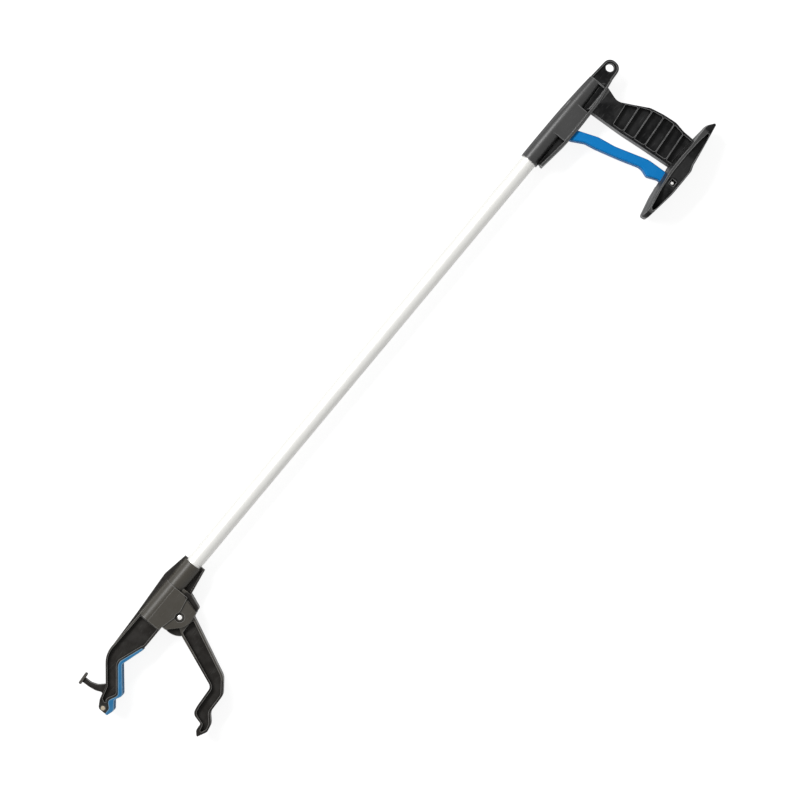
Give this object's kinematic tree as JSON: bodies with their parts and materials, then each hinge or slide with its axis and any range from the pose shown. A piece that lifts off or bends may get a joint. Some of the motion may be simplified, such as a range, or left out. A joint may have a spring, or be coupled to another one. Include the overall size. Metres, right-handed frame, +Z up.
{
  "type": "reaching aid",
  "caption": "Trigger-operated reaching aid: pistol grip, straight tube with a pull rod, one fixed and one moving jaw, and a dressing hook.",
  "frame": {"origin": "Bottom centre of the whole tool's box, with the tool lying on its side and its jaws open.", "axes": "+X runs along the tube towards the jaws, +Y from the tube towards the grip and the moving jaw, and +Z up, across the tool."},
  "size_m": [0.8286, 0.1448, 0.032],
  "materials": {
    "handle_plastic": "fine-textured black moulding, satin",
    "jaw_plastic": "fine-textured dark grey moulding, satin",
    "trigger_plastic": "bright blue moulding, satin",
    "liner_rubber": "soft blue rubber, matt",
    "tube_aluminium": "satin silver anodised",
    "plain_steel": "bright plated",
    "spring_steel": "bright",
    "magnet_nickel": "nickel plated, slightly worn",
    "rod_end_plastic": "moulded",
    "bush_plastic": "natural moulded"
  },
  "bodies": {
    "frame": {"handle_frame": "handle_plastic", "jaw_head": "jaw_plastic", "main_tube": "tube_aluminium", "finger_liner": "liner_rubber", "tip_magnet": "magnet_nickel", "jaw_pivot_pin": "plain_steel", "jaw_pin_clip": "spring_steel", "trigger_pivot_pin": "plain_steel", "trigger_pin_clip": "spring_steel", "rod_guide_handle": "bush_plastic", "rod_guide_middle": "bush_plastic", "rod_guide_jaw": "bush_plastic", "return_spring": "spring_steel"},
    "rod": {"pull_rod": "plain_steel", "rod_end_handle": "rod_end_plastic", "rod_end_jaw": "rod_end_plastic", "trigger_link_pin": "plain_steel", "jaw_link_pin": "plain_steel", "spring_collar": "bush_plastic", "collar_clip": "spring_steel"},
    "trigger": {"trigger": "trigger_plastic"},
    "moving_jaw": {"moving_jaw": "jaw_plastic"}
  },
  "joints": [
    {"name": "trigger_squeeze", "type": "hinge", "parent": "frame", "child": "trigger", "pos_m": [-0.34148, 0.06531, 0.016], "axis": [0, 0, -1], "range_deg": [0, 8.48], "stiffness_Nm_per_rad": 3, "springref_deg": -3.44},
    {"name": "rod_pull", "type": "slide", "parent": "frame", "child": "rod", "axis": [-1, 0, 0], "range_m": [0, 0.01852], "deforming": ["return_spring"]},
    {"name": "jaw_close", "type": "hinge", "parent": "frame", "child": "moving_jaw", "pos_m": [0.29442, -0.03319, 0.016], "axis": [0, 0, -1], "range_deg": [0, 43]}
  ],
  "couplings": [
    {"joint": "rod_pull", "follows": "trigger_squeeze", "m_per_rad": 0.12506},
    {"joint": "jaw_close", "follows": "trigger_squeeze", "ratio": 5.0696}
  ]
}
